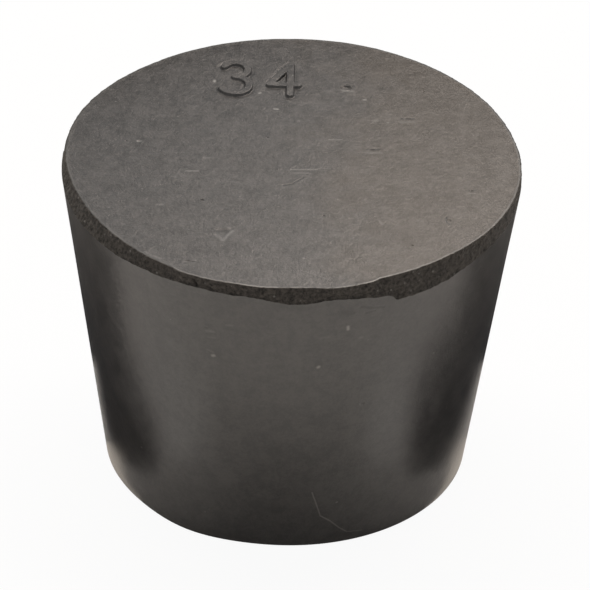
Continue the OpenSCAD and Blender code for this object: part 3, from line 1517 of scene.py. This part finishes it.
@dataclass(frozen=True)
class StripLook:
    """The colour of a strip that only the stopper's gloss shows, so it is a painted reflection. It has its
    near colour up to the first distance of its fade from the foot's middle, in millimetres, and its far
    colour from the second. A lit strip glows though it is no lamp, and shows in the gloss as a painted bright
    reflection."""

    near: Colour
    far: Colour
    lit: bool = False
    fade: Point = (24.0, 44.0)

    def material(self, name: str) -> bpy.types.Material:
        """Makes the material.

        Args:
            name: the material's name.

        Returns:
            The material, lit from within or matt.
        """
        made = bpy.data.materials.new(name)
        bench = NodeBench(made)
        radius = bench.vector("DISTANCE", bench.where, (0.0, 0.0, 0.0)).outputs["Value"]
        share = bench.remap(radius, self.fade)
        face = bench.add("ShaderNodeEmission" if self.lit else "ShaderNodeBsdfDiffuse")
        bench.feed(face.inputs["Color"], bench.blend(share, self.near, self.far))
        bench.show(face.outputs[0])
        return made


@dataclass(frozen=True)
class BenchStrip:
    """A flat strip round the stopper that shows only in its gloss, as a painted reflection: it neither lights
    nor shades anything. It lies on the bench, or is held level over it. Each station gives an azimuth in
    degrees and the radii of the strip's inner and outer edge there. The radii and the height over the bench
    are in millimetres, and the step along the strip is in degrees."""

    name: str
    strip_look: StripLook
    stations: tuple[Place, ...]
    height: float = 0.05
    step: float = 1.5

    def lay(self) -> None:
        """Makes the strip."""
        azimuth, inner, outer = np.array(self.stations).T
        turn = np.arange(azimuth[0], azimuth[-1] + self.step / 2, self.step)
        points: list[Vector] = []
        for radii in (inner, outer):
            x, y = around(turn, np.interp(turn, azimuth, radii))
            points += [Vector((float(a), float(b), self.height)) * MM for a, b in zip(x, y)]
        count = len(turn)
        quads = [(i, i + 1, count + i + 1, count + i) for i in range(count - 1)]
        sheet = bpy.data.meshes.new(self.name)
        sheet.from_pydata(points, [], quads)
        sheet.materials.append(self.strip_look.material(self.name))
        strip = put(self.name, sheet)
        strip.visible_camera = False
        strip.visible_diffuse = False
        strip.visible_shadow = False
        strip.visible_transmission = False


@dataclass(frozen=True)
class View:
    """The camera: it looks along +Y and down at the stopper's middle, from a long way off. Its distance is in
    metres, its dip and roll in degrees, its lens and sensor in millimetres."""

    distance: float = 0.60475
    dip: float = 34.27
    roll: float = 1.467
    lens: float = 493.6
    sensor: float = 36.0
    shift: Point = (0.0109, 0.0135)

    def place(self, middle: Vector) -> None:
        """Makes the camera.

        Args:
            middle: the point that it's aimed at.
        """
        data = bpy.data.cameras.new("camera")
        data.lens = self.lens
        data.sensor_width = self.sensor
        data.sensor_fit = "HORIZONTAL"
        data.shift_x, data.shift_y = self.shift
        camera = put("camera", data)
        dip = math.radians(self.dip)
        aim = Vector((0.0, math.cos(dip), -math.sin(dip)))
        turn = Matrix.Rotation(math.radians(self.roll), 4, "Z")
        upright = Euler((math.pi / 2 - dip, 0.0, 0.0)).to_matrix().to_4x4()
        camera.matrix_world = Matrix.Translation(middle - aim * self.distance) @ upright @ turn
        bpy.context.scene.camera = camera


# Painted reflections, seen only in the stopper's gloss: a dark colour that fades out away from the foot, and
# two glowing colours that are no lamps.
DARK_REFLECTION = StripLook((0.020, 0.022, 0.028), (0.085, 0.079, 0.073))
GLOW_REFLECTION_NEAR = StripLook((0.99, 0.88, 0.77), (0.99, 0.88, 0.77), lit=True)
GLOW_REFLECTION_FAR = StripLook((0.84, 0.79, 0.74), (0.84, 0.79, 0.74), lit=True)


@dataclass
class Studio:
    """A pale bench without an end, a white room, soft lamps, and strips that only the stopper's gloss shows,
    which paint dark and bright reflections on it. The bench's size and how far it lies under the foot are in
    metres."""

    floor_size: float = 3.0
    floor_gap: float = 0.00002
    floor_colour: Colour = (0.92, 0.87, 0.825)
    floor_white: float = 0.94
    room_diffuse: float = 0.24
    view: View = View()
    lamps: tuple[SoftBox, ...] = (
        SoftBox("overhead", (0.0, 0.22, 0.60), (0.80, 0.15), 11.8, (1.0, 0.97, 0.935), in_gloss=False),
        SoftBox(
            "back_panel", (0.040, 0.059, 0.1164), (0.10, 0.04), 9.9, (1.0, 0.87, 0.76), in_diffuse=False
        ),
    )
    # Strips of painted reflection: the dark ones draw dark bands in the stopper's gloss, the glowing ones
    # bright bands.
    strips: tuple[BenchStrip, ...] = (
        # Dark sheet round the sides and back: painted dark reflection in the wall's gloss.
        BenchStrip(
            "dark_reflection_round",
            DARK_REFLECTION,
            (
                (51.0, 18.0, 18.2), (54.0, 17.6, 20.0), (56.0, 17.2, 21.7), (58.5, 16.8, 25.0),
                (61.5, 16.5, 26.7), (64.5, 16.3, 28.2), (68.0, 16.0, 29.6), (74.0, 15.9, 31.0),
                (84.0, 16.4, 34.0), (91.0, 17.1, 46.0), (104.0, 18.7, 46.0), (114.0, 21.0, 46.0),
                (135.0, 19.0, 46.0), (180.0, 18.0, 46.0), (225.0, 19.0, 46.0), (249.0, 20.0, 46.0),
                (258.0, 17.3, 46.0), (269.0, 15.7, 46.0), (275.0, 15.1, 40.0), (277.0, 15.0, 32.0),
                (281.0, 15.0, 28.6), (287.0, 15.1, 25.8), (291.5, 15.2, 23.7), (298.5, 15.7, 22.0),
                (303.0, 16.5, 20.8), (305.5, 17.2, 19.2), (307.0, 17.7, 17.8),
            ),
        ),
        BenchStrip(
            # Dark sheet held level behind the stopper: painted dark reflection over the back of the face.
            "dark_reflection_behind",
            DARK_REFLECTION,
            (
                (140.0, 27.5, 29.0), (155.0, 25.2, 34.0), (170.0, 24.0, 36.0), (185.0, 24.0, 36.0),
                (195.0, 23.4, 36.0), (205.0, 22.3, 36.0), (215.0, 21.8, 35.0), (228.0, 22.2, 32.0),
                (240.0, 23.0, 25.0),
            ),
            height=30.0,
        ),
        BenchStrip(
            # Glowing strip at the foot's right: a painted bright reflection, no lamp.
            "glow_reflection_foot_right",
            GLOW_REFLECTION_NEAR,
            (
                (52.0, 13.55, 13.6), (60.0, 13.55, 13.7), (66.0, 13.55, 14.0), (72.0, 13.55, 14.6),
                (78.0, 13.55, 15.3), (84.0, 13.55, 15.5), (90.0, 13.55, 15.3), (96.0, 13.55, 13.8),
            ),
        ),
        BenchStrip(
            # Glowing strip at the foot's left: a painted bright reflection, no lamp.
            "glow_reflection_foot_left",
            GLOW_REFLECTION_NEAR,
            (
                (272.0, 13.55, 13.7), (276.0, 13.55, 14.6), (279.0, 13.55, 15.1), (285.0, 13.55, 15.2),
                (290.0, 13.55, 14.6), (294.0, 13.55, 14.1), (300.0, 13.55, 13.8), (308.0, 13.55, 13.65),
            ),
        ),
        BenchStrip(
            # Glowing strip further out on the right: a painted bright reflection, no lamp.
            "glow_reflection_outer_right",
            GLOW_REFLECTION_FAR,
            (
                (33.0, 22.0, 24.0), (39.0, 20.5, 28.0), (46.0, 20.0, 31.0), (52.0, 20.5, 32.5),
                (55.0, 22.5, 33.5), (58.0, 26.5, 34.0), (62.0, 28.5, 33.5), (66.0, 31.0, 32.0),
            ),
        ),
        BenchStrip(
            # Glowing strip further out on the left: a painted bright reflection, no lamp.
            "glow_reflection_outer_left",
            GLOW_REFLECTION_FAR,
            (
                (290.0, 26.0, 28.5), (295.0, 24.0, 31.0), (300.0, 22.8, 32.0), (304.0, 20.5, 32.0),
                (308.0, 19.5, 31.5), (314.0, 19.5, 30.0), (321.0, 20.0, 28.0), (327.0, 22.0, 24.0),
            ),
        ),
    )

    def build(self, middle: Vector) -> None:
        """Builds the studio.

        Args:
            middle: the stopper's middle.
        """
        self._floor()
        self._room()
        for strip in self.strips:
            strip.lay()
        for lamp in self.lamps:
            lamp.hang()
        self.view.place(middle)
        bpy.context.scene.view_settings.view_transform = "Standard"

    def _floor(self) -> None:
        """Makes the bench: white to the camera, with the shadow still on it."""
        half = self.floor_size / 2
        corners = [(-half, -half), (half, -half), (half, half), (-half, half)]
        sheet = bpy.data.meshes.new("bench")
        sheet.from_pydata([(x, y, -self.floor_gap) for x, y in corners], [], [(0, 1, 2, 3)])
        bench_top = put("bench", sheet)
        paper = bpy.data.materials.new("bench_paper")
        bench = NodeBench(paper, placed=False)
        matt = bench.add("ShaderNodeBsdfDiffuse")
        bench.feed(matt.inputs["Color"], (*self.floor_colour, 1.0))
        white = bench.add("ShaderNodeEmission")
        bench.feed(white.inputs["Color"], (1.0, 1.0, 1.0, 1.0))
        bench.feed(white.inputs["Strength"], 1.0)
        seen = bench.add("ShaderNodeLightPath").outputs["Is Camera Ray"]
        share = bench.math("MULTIPLY", seen, self.floor_white)
        mix = bench.add("ShaderNodeMixShader")
        for socket, value in zip(mix.inputs, (share, matt.outputs[0], white.outputs[0])):
            bench.feed(socket, value)
        bench.show(mix.outputs[0])
        sheet.materials.append(paper)

    def _room(self) -> None:
        """Makes the room: white where it's seen, also in gloss, and a plain light elsewhere."""
        world = bpy.data.worlds.new("room")
        bpy.context.scene.world = world
        bench = NodeBench(world, placed=False)
        path = bench.add("ShaderNodeLightPath")
        seen = path.outputs["Is Camera Ray"]
        for ray in ("Is Glossy Ray", "Is Transmission Ray"):
            seen = bench.math("ADD", seen, path.outputs[ray], clamp=True)
        strength = bench.remap(seen, (0.0, 1.0), (self.room_diffuse, 1.0))
        glow = bench.add("ShaderNodeBackground")
        bench.feed(glow.inputs["Color"], (1.0, 1.0, 1.0, 1.0))
        bench.feed(glow.inputs["Strength"], strength)
        bench.show(glow.outputs[0], "ShaderNodeOutputWorld")


# --- Assembly ---


@dataclass
class Stopper:
    """The stopper as it's shown: its moulding, dressed and fixed to the frame."""

    taper: Taper

    def build(self) -> None:
        """Makes the piece that stands for the CAD node."""
        mesh = Moulding(self.taper, TrimmedRim(self.taper), LargeEnd(self.taper)).build()
        for material in Dress(self.taper).materials():
            mesh.materials.append(material)
        piece = put(PIECE, mesh)
        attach(piece, "root")
        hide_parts(NODE)
        triangles = sum(len(polygon.vertices) - 2 for polygon in mesh.polygons)
        log.info("%s: %d points, %d triangles", piece.name, len(mesh.vertices), triangles)


def taper_from_frame() -> Taper:
    """The plug's sizes, with its length and its widest radius taken from the CAD node."""
    low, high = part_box(NODE)
    return Taper(mouth_r=(high.x - low.x) / 2 / MM, length=(high.z - low.z) / MM)


def main() -> None:
    """Builds the stopper and then the studio round it."""
    logging.basicConfig(level=logging.INFO, format="%(name)s: %(message)s")
    taper = taper_from_frame()
    Stopper(taper).build()
    Studio().build(Vector((0.0, 0.0, taper.length / 2 * MM)))


if __name__ == "__main__":
    main()
